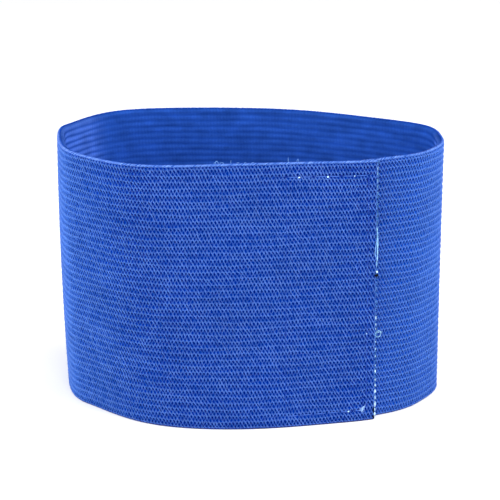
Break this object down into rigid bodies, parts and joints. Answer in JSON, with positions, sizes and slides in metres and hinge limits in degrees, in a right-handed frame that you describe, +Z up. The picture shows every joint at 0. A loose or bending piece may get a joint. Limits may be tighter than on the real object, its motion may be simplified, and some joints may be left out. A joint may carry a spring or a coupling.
{
  "type": "captain armband",
  "caption": "Wide knitted elastic armband standing on its edge as an open loop, its outer end lapped over its under end and held by a hidden hook patch.",
  "frame": {"origin": "on the surface that the band stands on, under the middle of the loop", "axes": "+Z up along the strip's width, -Y to the front where the ends lap, +X to the right as seen from the front"},
  "size_m": [0.0942, 0.0567, 0.065],
  "materials": {
    "knitted_elastic": "soft ribbed knit",
    "hook_tape": "dull woven nylon"
  },
  "bodies": {
    "root": {"elastic_band": "knitted_elastic", "hook_patch": "hook_tape"}
  },
  "joints": []
}
